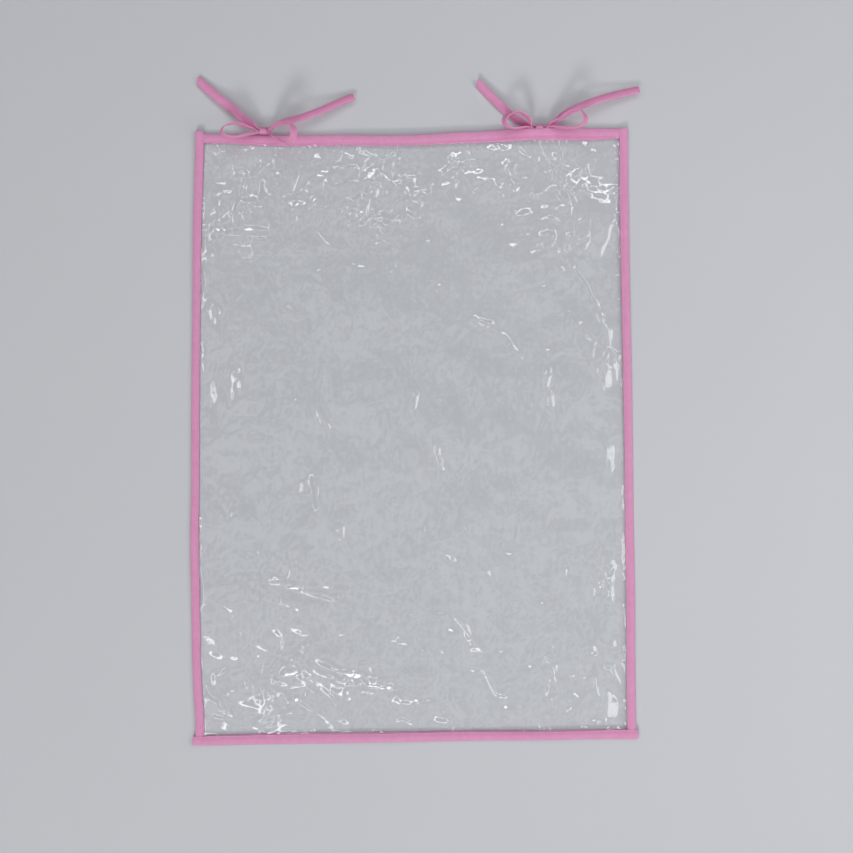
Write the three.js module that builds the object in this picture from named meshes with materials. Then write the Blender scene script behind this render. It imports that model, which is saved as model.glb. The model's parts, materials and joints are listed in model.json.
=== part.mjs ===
// A clear film panel with its edge bound in folded tape, and two tie ribbons sewn behind its top edge,
// each tied in a bow.
// It lies face up on a flat surface: +X to the right, +Y towards the edge with the ties, +Z up.
// Lengths are in millimetres.
import * as THREE from "three";

// Panel
const PANEL_WIDTH = 500; // over the bindings
const PANEL_HEIGHT = 700; // over the bindings
const FILM_THICKNESS = 0.25;
const FIT_GAP = 0.3; // between two pieces that touch
const FOLD_GAP = 0.3; // between the two rigid halves, at the line where the panel folds

// Folded tape, used for the bindings and, stitched shut, for the ties
const TAPE_WIDTH = 10;
const LEG_THICKNESS = 0.6; // one side of a binding, two layers of cloth
const RIBBON_THICKNESS = 1.0; // a tie, four layers of cloth
const PRESSED_THICKNESS = 0.6; // a tie where its stitches press it flat
const BINDING_THICKNESS = FILM_THICKNESS + 2 * FIT_GAP + 2 * LEG_THICKNESS;
const BOTTOM_OVERHANG = 2.5; // the bottom binding runs past the side bindings by this much at each end

// Sewing thread
const THREAD_DIAMETER = 0.3;
const THREAD_END = 0.5; // a thread stops this far from each end of its binding
const SEAM_INSET = 1.5; // from the binding's inner edge to its seam
const SEAM_GROOVE_WIDTH = 0.9; // the seam pulls the tape in along a shallow groove
const SEAM_GROOVE_DEPTH = 0.4;
const NEEDLE_RISE = 0.05; // how far the front thread stands out of its groove
const BOBBIN_DEPTH = 0.03; // how far inside its groove the back thread stays

// Heights above the surface: the ties lie under the panel's top edge and lift it by their own thickness
const SEWN_GAP = 0.1; // between pieces that are sewn flat together
const PANEL_BASE = RIBBON_THICKNESS + SEWN_GAP;
const FILM_BASE = PANEL_BASE + LEG_THICKNESS + FIT_GAP;
const TOP_EDGE = PANEL_HEIGHT / 2;
const RIGHT_EDGE = PANEL_WIDTH / 2;

// The bar of stitches that holds a tie
const TACK_LENGTH = TAPE_WIDTH - 2;
const TACK_WIDTH = 1.6;
const TACK_HEIGHT = 0.25;
const TACK_INSET = 6.5; // from the panel's top edge to the bar

// Knots, each a barrel that lies along X
const KNOT_RADIUS = 4.3;
const KNOT_END_RADIUS = 3.4;
const KNOT_LENGTH = 10;
const ROOT_START = 7; // where loops and tails start, from the knot's centre
const ROOT_WIDTH = 3.6; // a ribbon is gathered to this width at the knot
const GATHER_LENGTH = 16; // and opens to its full width over this length
const NECK_WIDTH = 5.8; // the width of the ribbon's middle where it enters the knot
const TAIL_LAYER = 2.6; // a tail leaves the knot this far behind its centre
const LOOP_LAYERS = [-2.7, -0.9]; // a loop's front and back strands leave it here
const KNOT_CHAMFER = 0.5;

// Steps along the curved pieces
const LOOP_STEPS = 40;
const TAIL_STEPS = 28;
const ANCHOR_STEPS = 20;

// Materials
const tapeCloth = new THREE.MeshStandardMaterial({ color: 0xe59ac3, roughness: 0.85 });
const pinkThread = new THREE.MeshStandardMaterial({ color: 0xeaa6cb, roughness: 0.6 });
const clearFilm = new THREE.MeshStandardMaterial({
  color: 0xf2f5f8,
  roughness: 0.08,
  transparent: true,
  opacity: 0.25,
});

const object = new THREE.Group();

function addPiece(name, geometry, material) {
  const mesh = new THREE.Mesh(geometry, material);
  mesh.name = name;
  object.add(mesh);
  return mesh;
}

// ---- The panel: film, bindings and seams ----

// A binding's cross-section. x runs inwards from the folded edge, and y up through the thickness.
function bindingSection() {
  const foldRadius = BINDING_THICKNESS / 2;
  const slotEnd = LEG_THICKNESS;
  const grooveInner = TAPE_WIDTH - SEAM_INSET + SEAM_GROOVE_WIDTH / 2;
  const grooveOuter = grooveInner - SEAM_GROOVE_WIDTH;
  const top = BINDING_THICKNESS;
  const section = new THREE.Shape();
  section.moveTo(foldRadius, 0);
  section.lineTo(grooveOuter, 0);
  section.lineTo(grooveOuter, SEAM_GROOVE_DEPTH);
  section.lineTo(grooveInner, SEAM_GROOVE_DEPTH);
  section.lineTo(grooveInner, 0);
  section.lineTo(TAPE_WIDTH, 0);
  section.lineTo(TAPE_WIDTH, LEG_THICKNESS);
  section.lineTo(slotEnd, LEG_THICKNESS);
  section.lineTo(slotEnd, top - LEG_THICKNESS);
  section.lineTo(TAPE_WIDTH, top - LEG_THICKNESS);
  section.lineTo(TAPE_WIDTH, top);
  section.lineTo(grooveInner, top);
  section.lineTo(grooveInner, top - SEAM_GROOVE_DEPTH);
  section.lineTo(grooveOuter, top - SEAM_GROOVE_DEPTH);
  section.lineTo(grooveOuter, top);
  section.lineTo(foldRadius, top);
  section.absarc(foldRadius, foldRadius, foldRadius, Math.PI / 2, (3 * Math.PI) / 2, false);
  return section;
}

// Turns a strip made along +Z, with its folded edge at x = 0, to lie along one edge of the panel.
// inwards is the direction in which the strip's section points, as an angle in the panel's plane from +X.
function layAlongEdge(mesh, foldPoint, inwards) {
  const across = new THREE.Vector3(Math.cos(inwards), Math.sin(inwards), 0);
  const up = new THREE.Vector3(0, 0, 1);
  const along = new THREE.Vector3().crossVectors(across, up);
  const basis = new THREE.Matrix4().makeBasis(across, up, along);
  mesh.quaternion.setFromRotationMatrix(basis);
  mesh.position.copy(foldPoint);
}

// One binding strip and the two threads of its lockstitch seam. start is the end from which the strip runs.
function addBinding(name, length, start, inwards) {
  const foldPoint = new THREE.Vector3(start[0], start[1], PANEL_BASE);
  const geometry = new THREE.ExtrudeGeometry(bindingSection(), {
    depth: length,
    bevelEnabled: false,
    curveSegments: 8,
  });
  layAlongEdge(addPiece(`${name}_binding`, geometry, tapeCloth), foldPoint, inwards);

  const seamInset = TAPE_WIDTH - SEAM_INSET;
  const needleHeight = BINDING_THICKNESS + NEEDLE_RISE - THREAD_DIAMETER / 2;
  const bobbinHeight = THREAD_DIAMETER / 2 + BOBBIN_DEPTH;
  for (const [thread, height] of [["needle", needleHeight], ["bobbin", bobbinHeight]]) {
    const radius = THREAD_DIAMETER / 2;
    const strand = new THREE.CylinderGeometry(radius, radius, length - 2 * THREAD_END, 8);
    strand.rotateX(Math.PI / 2).translate(seamInset, height, length / 2);
    layAlongEdge(addPiece(`${name}_${thread}_thread`, strand, pinkThread), foldPoint, inwards);
  }
}

function addPanel() {
  const filmInset = LEG_THICKNESS + FIT_GAP;
  const filmWidth = PANEL_WIDTH - 2 * filmInset;
  const halfHeight = TOP_EDGE - filmInset - FOLD_GAP / 2;
  for (const [name, side] of [["upper", 1], ["lower", -1]]) {
    const film = new THREE.BoxGeometry(filmWidth, halfHeight, FILM_THICKNESS);
    const middle = side * (FOLD_GAP / 2 + halfHeight / 2);
    film.translate(0, middle, FILM_BASE + FILM_THICKNESS / 2);
    addPiece(`${name}_film`, film, clearFilm);
  }

  const sideEnd = TOP_EDGE - TAPE_WIDTH - FIT_GAP; // the side bindings stop at the bottom binding
  const topLength = PANEL_WIDTH - 2 * (TAPE_WIDTH + FIT_GAP);
  const bottomLength = PANEL_WIDTH + 2 * BOTTOM_OVERHANG;
  const half = FOLD_GAP / 2;
  addBinding("top", topLength, [topLength / 2, TOP_EDGE], -Math.PI / 2);
  addBinding("bottom", bottomLength, [-bottomLength / 2, -TOP_EDGE], Math.PI / 2);
  addBinding("left_upper", TOP_EDGE - half, [-RIGHT_EDGE, TOP_EDGE], 0);
  addBinding("left_lower", sideEnd - half, [-RIGHT_EDGE, -half], 0);
  addBinding("right_upper", TOP_EDGE - half, [RIGHT_EDGE, half], Math.PI);
  addBinding("right_lower", sideEnd - half, [RIGHT_EDGE, -sideEnd], Math.PI);
}

// ---- Ties ----

// A ribbon bent along a path: a box whose length follows the curve. sideAt and widthAt give, at each share of the
// length, the direction across the ribbon and its width there.
function ribbon(curve, steps, thicknessAt, widthAt, sideAt) {
  const bar = new THREE.BoxGeometry(1, 1, 1, steps, 1, 1);
  const position = bar.getAttribute("position");
  const vertex = new THREE.Vector3();
  for (let i = 0; i < position.count; i++) {
    vertex.fromBufferAttribute(position, i);
    const share = THREE.MathUtils.clamp(vertex.x + 0.5, 0, 1);
    const along = curve.getTangentAt(share);
    const side = sideAt(share);
    side.addScaledVector(along, -side.dot(along)).normalize();
    const normal = new THREE.Vector3().crossVectors(along, side);
    const point = curve.getPointAt(share);
    point.addScaledVector(side, vertex.y * widthAt(share));
    point.addScaledVector(normal, vertex.z * thicknessAt(share));
    position.setXYZ(i, point.x, point.y, point.z);
  }
  bar.computeVertexNormals();
  return bar;
}

const vector = ([x, y, z]) => new THREE.Vector3(x, y, z);

// The width of a ribbon at a distance from where it leaves the knot
function gatheredWidth(distance) {
  const open = THREE.MathUtils.smoothstep(distance, 0, GATHER_LENGTH);
  return THREE.MathUtils.lerp(ROOT_WIDTH, TAPE_WIDTH, open);
}

// A loop: one strand out from the knot, round the far end, and back beside the first.
function addLoop(name, knot, { hand, route, lean }) {
  const [front, back] = LOOP_LAYERS;
  const points = [[hand * ROOT_START, front, 0], ...route, [hand * ROOT_START, back, 0]];
  const curve = new THREE.CatmullRomCurve3(points.map((p) => vector(p).add(knot)), false, "centripetal");
  const length = curve.getLength();
  const upright = new THREE.Vector3(0, 0, 1);
  const leaning = vector(lean).normalize();
  const geometry = ribbon(
    curve,
    LOOP_STEPS,
    () => RIBBON_THICKNESS,
    (share) => gatheredWidth(Math.min(share, 1 - share) * length),
    (share) => upright.clone().lerp(leaning, Math.sin(Math.PI * share)),
  );
  addPiece(name, geometry, tapeCloth);
}

// A tail: it leaves the knot on edge and turns towards lying flat by its free end.
function addTail(name, knot, { hand, route, endSide }) {
  const points = [[hand * ROOT_START, TAIL_LAYER, 0], ...route];
  const curve = new THREE.CatmullRomCurve3(points.map((p) => vector(p).add(knot)), false, "centripetal");
  const length = curve.getLength();
  const upright = new THREE.Vector3(0, 0, 1);
  const flat = vector(endSide).normalize();
  const geometry = ribbon(
    curve,
    TAIL_STEPS,
    () => RIBBON_THICKNESS,
    (share) => gatheredWidth(share * length),
    (share) => upright.clone().lerp(flat, THREE.MathUtils.smoothstep(share, 0.05, 0.6)),
  );
  addPiece(name, geometry, tapeCloth);
}

function addKnot(name, knot) {
  const half = KNOT_LENGTH / 2;
  const outline = [
    [0, -half],
    [KNOT_END_RADIUS - KNOT_CHAMFER, -half],
    [KNOT_END_RADIUS, -half + KNOT_CHAMFER],
    [KNOT_RADIUS, -half / 2],
    [KNOT_RADIUS, half / 2],
    [KNOT_END_RADIUS, half - KNOT_CHAMFER],
    [KNOT_END_RADIUS - KNOT_CHAMFER, half],
    [0, half],
  ];
  const barrel = new THREE.LatheGeometry(outline.map(([r, h]) => new THREE.Vector2(r, h)), 20);
  const mesh = addPiece(name, barrel, tapeCloth);
  mesh.rotation.z = -Math.PI / 2;
  mesh.position.copy(knot);
}

// The middle of the tie, sewn flat behind the top binding and turned up round the edge to the knot.
function addAnchor(name, knot) {
  const pressedMiddle = RIBBON_THICKNESS - PRESSED_THICKNESS / 2;
  const ribbonMiddle = RIBBON_THICKNESS / 2;
  const knotFoot = knot.z - KNOT_RADIUS - FIT_GAP - ribbonMiddle;
  const turnStart = TOP_EDGE + FIT_GAP + ribbonMiddle + 0.6;
  const curve = new THREE.CatmullRomCurve3(
    [
      [knot.x, TOP_EDGE - TAPE_WIDTH + 0.5, pressedMiddle],
      [knot.x, TOP_EDGE - 3, pressedMiddle],
      [knot.x, TOP_EDGE, ribbonMiddle + 0.02],
      [knot.x, turnStart, ribbonMiddle + 0.35],
      [knot.x, turnStart + 1, knotFoot],
    ].map(vector),
    false,
    "centripetal",
  );
  const across = new THREE.Vector3(1, 0, 0);
  const unpressed = (share) => THREE.MathUtils.smoothstep(share, 0.5, 0.68);
  const geometry = ribbon(
    curve,
    ANCHOR_STEPS,
    (share) => THREE.MathUtils.lerp(PRESSED_THICKNESS, RIBBON_THICKNESS, unpressed(share)),
    (share) => THREE.MathUtils.lerp(TAPE_WIDTH, NECK_WIDTH, THREE.MathUtils.smoothstep(share, 0.7, 1)),
    () => across.clone(),
  );
  addPiece(name, geometry, tapeCloth);
}

// The bar of close stitches that holds the tie: thread that lies in the hollow that it presses.
function addTack(name, knot) {
  const bar = new THREE.BoxGeometry(TACK_LENGTH, TACK_WIDTH, TACK_HEIGHT);
  const top = RIBBON_THICKNESS - PRESSED_THICKNESS - SEWN_GAP;
  bar.translate(knot.x, TOP_EDGE - TACK_INSET, top - TACK_HEIGHT / 2);
  addPiece(name, bar, pinkThread);
}

// Routes run from the knot's centre. A loop's lean is the way its ribbon's width points at the far end.
const BOWS = {
  left: {
    knot: [-167.6, TOP_EDGE + 1.6, 8.2],
    left_loop: {
      hand: -1,
      route: [[-12, -4, 2.8], [-23, -7.6, 8.6], [-36, -9.4, 15.6], [-45, -6.8, 20.6], [-48, -2.8, 22],
        [-43, 2.6, 19.6], [-33, 5.6, 14.2], [-21, 4.2, 7.8], [-12, 0.4, 3]],
      lean: [0.42, -0.05, 0.9],
    },
    right_loop: {
      hand: 1,
      route: [[10.4, -5, 3.8], [17, -12.2, 12], [24.6, -17.6, 22], [31.4, -16.6, 31], [34, -9.8, 34],
        [31.4, -1.2, 30.6], [23.6, 3.6, 20.6], [15.6, 2.2, 10.6], [10.4, -0.2, 3.8]],
      lean: [-0.66, 0.05, 0.75],
    },
    left_tail: {
      hand: -1,
      route: [[-16, 8.4, 3.2], [-32, 20.4, 4.4], [-50, 34, 0.6], [-66, 46.2, -5], [-79.8, 56.7, -7.2]],
      endSide: [0.61, 0.79, 0],
    },
    right_tail: {
      hand: 1,
      route: [[16, 8.4, 4], [36, 16.4, 7], [58, 24.4, 5.2], [80, 32.4, 0], [98.3, 39.4, -4]],
      endSide: [-0.27, 0.72, 0.64],
    },
  },
  right: {
    knot: [146.7, TOP_EDGE + 5.4, 6.4],
    left_loop: {
      hand: -1,
      route: [[-11, -4, 3.4], [-22, -6.4, 10.4], [-33.4, -6.2, 18], [-41, -2, 23.4], [-40.6, 5.2, 25],
        [-32.6, 9.8, 22.6], [-23, 7.6, 16.6], [-14.8, 2.4, 9], [-10.6, -0.2, 3.8]],
      lean: [0.5, -0.2, 0.84],
    },
    right_loop: {
      hand: 1,
      route: [[10.8, -3.6, 3], [22.6, -5.2, 11], [35.6, -5.4, 20.4], [46, -3.4, 28.6], [50, 2.4, 32.6],
        [46.8, 9.2, 31.4], [38, 12.2, 25], [27.2, 9.6, 15.8], [16.6, 3.8, 7.4], [10.8, 0, 3]],
      lean: [-0.55, -0.12, 0.82],
    },
    left_tail: {
      hand: -1,
      route: [[-14, 9.4, 2], [-24, 17.2, 2.2], [-38, 26, 1.2], [-56, 38.6, -1.4], [-73.5, 50, -3.4]],
      endSide: [0.55, 0.7, 0.42],
    },
    right_tail: {
      hand: 1,
      route: [[16, 11, 4.6], [32, 22, 8.4], [52, 30.4, 9.2], [74, 36.4, 6.2], [96, 41, 1.6], [116.3, 44, -1.6]],
      endSide: [-0.1, 0.6, 0.79],
    },
  },
};

function addTies() {
  for (const [side, bow] of Object.entries(BOWS)) {
    const knot = vector(bow.knot);
    addAnchor(`${side}_tie_anchor`, knot);
    addTack(`${side}_tie_tack`, knot);
    addKnot(`${side}_bow_knot`, knot);
    addLoop(`${side}_bow_left_loop`, knot, bow.left_loop);
    addLoop(`${side}_bow_right_loop`, knot, bow.right_loop);
    addTail(`${side}_bow_left_tail`, knot, bow.left_tail);
    addTail(`${side}_bow_right_tail`, knot, bow.right_tail);
  }
}

addPanel();
addTies();

// The origin is under the middle of the object's box, on the surface that it lies on.
const objectBox = new THREE.Box3().setFromObject(object, true);
const middle = objectBox.getCenter(new THREE.Vector3());
object.position.set(-middle.x, -middle.y, -objectBox.min.z);

export default object;
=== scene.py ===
"""A clear film panel with its edge bound in pink tape and two ties in bows, lying on a pale surface.

Everything is in metres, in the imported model's frame: +X to the right, +Y towards the ties, +Z up.
"""

import json
import math

import bpy
import numpy as np
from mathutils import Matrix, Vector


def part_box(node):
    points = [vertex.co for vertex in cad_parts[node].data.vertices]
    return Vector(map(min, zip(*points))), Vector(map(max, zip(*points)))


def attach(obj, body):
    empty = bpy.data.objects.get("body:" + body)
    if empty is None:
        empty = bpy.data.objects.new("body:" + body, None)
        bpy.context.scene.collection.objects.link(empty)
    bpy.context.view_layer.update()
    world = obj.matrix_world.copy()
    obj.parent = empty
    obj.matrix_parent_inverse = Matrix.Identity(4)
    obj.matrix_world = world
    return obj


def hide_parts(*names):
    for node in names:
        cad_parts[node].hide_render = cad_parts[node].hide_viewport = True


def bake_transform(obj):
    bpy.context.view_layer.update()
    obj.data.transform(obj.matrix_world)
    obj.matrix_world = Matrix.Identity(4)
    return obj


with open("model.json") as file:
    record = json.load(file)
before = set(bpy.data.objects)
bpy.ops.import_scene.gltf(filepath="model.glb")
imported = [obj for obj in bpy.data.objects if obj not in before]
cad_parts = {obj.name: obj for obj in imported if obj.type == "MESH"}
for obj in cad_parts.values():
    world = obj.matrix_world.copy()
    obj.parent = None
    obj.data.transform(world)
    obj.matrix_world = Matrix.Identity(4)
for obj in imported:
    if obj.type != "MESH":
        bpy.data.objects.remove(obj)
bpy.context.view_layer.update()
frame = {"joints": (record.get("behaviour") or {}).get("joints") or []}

MM = 0.001
CELLS = 64  # random patterns repeat after this many cells
rng = np.random.default_rng(11)

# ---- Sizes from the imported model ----

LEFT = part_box("left_upper_binding")[0].x
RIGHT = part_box("right_upper_binding")[1].x
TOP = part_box("top_binding")[1].y
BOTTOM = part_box("bottom_binding")[0].y
WIDTH = RIGHT - LEFT
HEIGHT = TOP - BOTTOM
CENTRE = np.array([(LEFT + RIGHT) / 2, (TOP + BOTTOM) / 2])
TAPE_WIDTH = round(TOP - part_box("top_binding")[0].y, 5)
BINDING_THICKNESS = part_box("top_binding")[1].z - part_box("top_binding")[0].z
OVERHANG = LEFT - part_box("bottom_binding")[0].x
FOLD_Y = next(joint["pos_m"][1] for joint in frame["joints"] if joint["name"] == "panel_fold")
SIDES = ("left", "right")


# ---- Small tools ----

def smoothstep(low, high, value):
    share = np.clip((value - low) / (high - low), 0, 1)
    return share * share * (3 - 2 * share)


def mix(a, b, share):
    return a + (b - a) * share


def through(points):
    """A smooth function of one number that passes through (place, value) points, all in millimetres."""
    places, values = np.array(points, float).T * MM
    slopes = np.gradient(values, places)

    def at(place):
        place = np.clip(place, places[0], places[-1])
        i = np.clip(np.searchsorted(places, place) - 1, 0, len(places) - 2)
        gap = places[i + 1] - places[i]
        t = (place - places[i]) / gap
        rise = values[i + 1] - values[i]
        ease = t * t * (3 - 2 * t)
        bend = t * (1 - t) * ((1 - t) * slopes[i] - t * slopes[i + 1]) * gap
        return values[i] + rise * ease + bend

    return at


def value_noise(x, y, cell):
    """Smooth random numbers, about -2 to 2, that change over the length of a cell."""
    lattice = rng.standard_normal((CELLS, CELLS))
    column, row = np.floor(x / cell).astype(int), np.floor(y / cell).astype(int)
    across = smoothstep(0, 1, x / cell - column)
    along = smoothstep(0, 1, y / cell - row)
    here, there = row % CELLS, (row + 1) % CELLS
    left, right = column % CELLS, (column + 1) % CELLS
    low = mix(lattice[here, left], lattice[here, right], across)
    high = mix(lattice[there, left], lattice[there, right], across)
    return mix(low, high, along)


def unit(vectors):
    return vectors / np.linalg.norm(vectors, axis=-1, keepdims=True)


def add_object(name, data):
    added = bpy.data.objects.new(name, data)
    bpy.context.scene.collection.objects.link(added)
    return added


def add_mesh(name, points, faces, material, uv=None):
    """A mesh object from an array of points and a list of faces. uv gives each point's place in the weave."""
    mesh = bpy.data.meshes.new(name)
    mesh.from_pydata(points.reshape(-1, 3).tolist(), [], faces)
    mesh.polygons.foreach_set("use_smooth", [True] * len(mesh.polygons))
    if uv is not None:
        corner = np.zeros(len(mesh.loops), int)
        mesh.loops.foreach_get("vertex_index", corner)
        layer = mesh.uv_layers.new(name="cloth")
        layer.data.foreach_set("uv", uv.reshape(-1, 2)[corner].ravel())
    mesh.materials.append(material)
    mesh.update()
    piece = add_object(name, mesh)
    return piece


def grid_faces(rows, columns, closed=False, first=0):
    """Quads over a grid of points, row by row. closed joins the last column to the first."""
    wrap = columns if closed else columns - 1
    row, column = np.meshgrid(np.arange(rows - 1), np.arange(wrap), indexing="ij")
    beside = (column + 1) % columns
    corners = [row * columns + column, row * columns + beside,
               (row + 1) * columns + beside, (row + 1) * columns + column]
    return (np.stack(corners, -1).reshape(-1, 4) + first).tolist()


def add_swept(name, rings, material, girth=None):
    """A closed bar from its cross-sections: rings has the shape (rings, points in a ring, 3)."""
    count, sides = rings.shape[:2]
    faces = grid_faces(count, sides, closed=True)
    faces.append(list(range(sides))[::-1])
    faces.append([(count - 1) * sides + i for i in range(sides)])
    steps = np.linalg.norm(np.diff(rings.mean(1), axis=0), axis=-1)
    along = np.concatenate([[0], np.cumsum(steps)])
    around = np.arange(sides) * (girth or 2 * TAPE_WIDTH) / sides
    uv = np.stack(np.broadcast_arrays(along[:, None], around[None, :]), -1)
    return add_mesh(name, rings, faces, material, uv)


# ---- The panel's outline: its edges are a little crooked, and stand clear of the surface ----

left_sway = through([(-350, 5.5), (-321, 5.5), (-288, 3), (-254, 1.5), (-187, -0.2), (-119, -2),
                     (-51, -1.5), (17, -2.2), (155, -2), (260, -2), (330, -0.5), (350, -0.5)])
right_sway = through([(-350, 2.9), (-254, 2.3), (-187, 2.8), (-119, 2.3), (52, 1.4), (155, 0),
                      (330, -0.9), (350, -0.9)])
top_sway = through([(-250, -4.6), (-225, -5), (-150, -6.8), (-82, -6.6), (-14, -7.2), (20, -6), (57, -3.2),
                    (76, -2.8), (92, -1.7), (107, -0.7), (137, 0.2), (215, 1.3), (250, 1.3)])
bottom_sway = through([(-250, -3.6), (-216, -3), (-126, -1.5), (-36, 0), (54, 1.5), (144, 2.6),
                       (212, 3.6), (250, 3.8)])
left_rise = through([(-350, 3), (-250, 2), (-120, 2.6), (40, 2.1), (200, 2.8), (310, 3.2), (350, 3.8)])
right_rise = through([(-350, 3), (-230, 3.4), (-100, 2.2), (60, 2.9), (200, 3.6), (300, 3.2), (350, 4)])
top_rise = through([(-250, 3.8), (-215, 3.4), (-170, 2.6), (-125, 3.9), (-60, 5.6), (10, 6.2),
                    (75, 5.4), (110, 5.6), (130, 8), (146, 9.3), (163, 8), (185, 5.4), (215, 4.4), (250, 4)])
bottom_rise = through([(-250, 3), (-170, 2.4), (-60, 3.4), (60, 2.6), (160, 3.5), (250, 3)])


def rim_height(x, y):
    """Height of the film's edge above the surface, carried smoothly over the panel from its four edges."""
    across = x / WIDTH + 0.5
    up = y / HEIGHT + 0.5
    half_y = HEIGHT / 2
    sides = mix(left_rise(y), right_rise(y), across)
    ends = mix(bottom_rise(x), top_rise(x), up)
    low_corners = mix(left_rise(-half_y), right_rise(-half_y), across)
    high_corners = mix(left_rise(half_y), right_rise(half_y), across)
    return sides + ends - mix(low_corners, high_corners, up)


def place_flat(x, y):
    """Where a point of the flat panel lies, with x and y from the panel's centre."""
    across = x / WIDTH + 0.5
    up = y / HEIGHT + 0.5
    moved_x = x + mix(left_sway(y), right_sway(y), across)
    moved_y = y + mix(bottom_sway(x), top_sway(x), up)
    return moved_x + CENTRE[0], moved_y + CENTRE[1]


def place(x, y, off):
    """The same with a height: off is measured from the film's edge."""
    flat_x, flat_y = place_flat(x, y)
    return np.stack([flat_x, flat_y, rim_height(x, y) + off], -1)


# ---- Materials ----

def new_material(name):
    material = bpy.data.materials.new(name)
    material.use_nodes = True
    material.node_tree.nodes.clear()
    return material, material.node_tree


def feed(tree, socket, value):
    """Sets an input to a value, or links it to another node's output."""
    if isinstance(value, bpy.types.NodeSocket):
        tree.links.new(value, socket)
    else:
        socket.default_value = value


def add_node(tree, kind, **values):
    """A node with its settings and its inputs, by name: Base_Color feeds the input called Base Color."""
    node = tree.nodes.new(kind)
    for name, value in values.items():
        socket = node.inputs.get(name.replace("_", " "))
        if socket:
            feed(tree, socket, value)
        else:
            setattr(node, name, value)
    return node


def add_math(tree, operation, *numbers):
    node = add_node(tree, "ShaderNodeMath", operation=operation)
    for socket, number in zip(node.inputs, numbers):
        feed(tree, socket, number)
    return node.outputs["Value"]


def add_texture(tree, kind, **values):
    """The output of a texture that is laid over the object's own places."""
    places = add_node(tree, "ShaderNodeTexCoord").outputs["Object"]
    return add_node(tree, kind, Vector=places, **values).outputs["Fac"]


def add_ramp(tree, factor, *stops):
    """A colour that runs between two (factor, colour) stops."""
    ramp = add_node(tree, "ShaderNodeValToRGB", Fac=factor)
    for element, (position, colour) in zip(ramp.color_ramp.elements, stops):
        element.position = position
        element.color = (*colour, 1)
    return ramp.outputs["Color"]


def add_mix(tree, share, first, second):
    """Two shaders together, with this share of the second."""
    both = add_node(tree, "ShaderNodeMixShader", Fac=share)
    tree.links.new(first.outputs["BSDF"], both.inputs[1])
    tree.links.new(second.outputs["BSDF"], both.inputs[2])
    return both.outputs["Shader"]


def cloth_material(name, deep, pale, glow):
    """Fine plain-weave cloth, its threads at 45 degrees to the strip. Some light shines through it."""
    material, tree = new_material(name)
    place_on_cloth = add_node(tree, "ShaderNodeUVMap", uv_map="cloth").outputs["UV"]
    heights = []
    for angle in (45, -45):
        turn = (0, 0, math.radians(angle))
        turned = add_node(tree, "ShaderNodeMapping", Vector=place_on_cloth, Rotation=turn)
        threads = add_node(tree, "ShaderNodeTexWave", Vector=turned.outputs["Vector"], Scale=700,
                           Distortion=0.6)
        heights.append(threads.outputs["Fac"])
    mottle = add_texture(tree, "ShaderNodeTexNoise", Scale=160, Detail=4, Roughness=0.6)
    creases = add_node(tree, "ShaderNodeBump", Height=mottle, Strength=0.35, Distance=0.4 * MM)
    weave = add_node(tree, "ShaderNodeBump", Height=add_math(tree, "MULTIPLY", *heights), Strength=0.4,
                     Distance=0.12 * MM, Normal=creases.outputs["Normal"])
    pinks = add_ramp(tree, mottle, (0.3, deep), (0.7, pale))
    shader = add_node(tree, "ShaderNodeBsdfPrincipled", Base_Color=pinks, Roughness=0.82, Sheen_Weight=0.35,
                      Sheen_Roughness=0.45, Normal=weave.outputs["Normal"])
    lit_through = add_node(tree, "ShaderNodeBsdfTranslucent", Color=(*glow, 1))
    add_node(tree, "ShaderNodeOutputMaterial", Surface=add_mix(tree, 0.3, shader, lit_through))
    return material


def thread_material():
    """Twisted sewing thread, a little paler and shinier than the cloth."""
    material, tree = new_material("sewing_thread")
    twist = add_texture(tree, "ShaderNodeTexWave", Scale=900, bands_direction="DIAGONAL")
    pinks = add_ramp(tree, twist, (0.2, (0.72, 0.30, 0.48)), (0.8, (0.85, 0.42, 0.60)))
    bump = add_node(tree, "ShaderNodeBump", Height=twist, Strength=0.5, Distance=0.08 * MM)
    shader = add_node(tree, "ShaderNodeBsdfPrincipled", Base_Color=pinks, Roughness=0.55, Sheen_Weight=0.3,
                      Normal=bump.outputs["Normal"])
    add_node(tree, "ShaderNodeOutputMaterial", Surface=shader.outputs["BSDF"])
    return material


MIRROR_SHARE = 0.1  # how much light the film mirrors when it is seen straight on
MIRROR_POWER = 5


def film_material():
    """Clear film: it lets light through, and mirrors more of it the more it is seen from the side."""
    material, tree = new_material("clear_film")
    clear = add_node(tree, "ShaderNodeBsdfTransparent", Color=(0.99, 0.995, 1, 1))
    ripple = add_texture(tree, "ShaderNodeTexNoise", Scale=150, Detail=3, Roughness=0.55, Distortion=0.6)
    bump = add_node(tree, "ShaderNodeBump", Height=ripple, Strength=0.4, Distance=0.4 * MM)
    gloss = add_node(tree, "ShaderNodeBsdfGlossy", Roughness=0.07, Normal=bump.outputs["Normal"])
    facing = add_node(tree, "ShaderNodeLayerWeight", Blend=0.5).outputs["Facing"]
    power = add_math(tree, "POWER", facing, MIRROR_POWER)
    share = add_math(tree, "MULTIPLY_ADD", power, 1 - MIRROR_SHARE, MIRROR_SHARE)
    add_node(tree, "ShaderNodeOutputMaterial", Surface=add_mix(tree, share, clear, gloss))
    return material


def floor_material():
    """A smooth painted board."""
    material, tree = new_material("pale_board")
    cloud = add_texture(tree, "ShaderNodeTexNoise", Scale=3, Detail=2)
    greys = add_ramp(tree, cloud, (0.2, (0.545, 0.557, 0.585)), (0.8, (0.557, 0.569, 0.596)))
    shader = add_node(tree, "ShaderNodeBsdfPrincipled", Base_Color=greys, Roughness=0.75)
    add_node(tree, "ShaderNodeOutputMaterial", Surface=shader.outputs["BSDF"])
    return material


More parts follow.
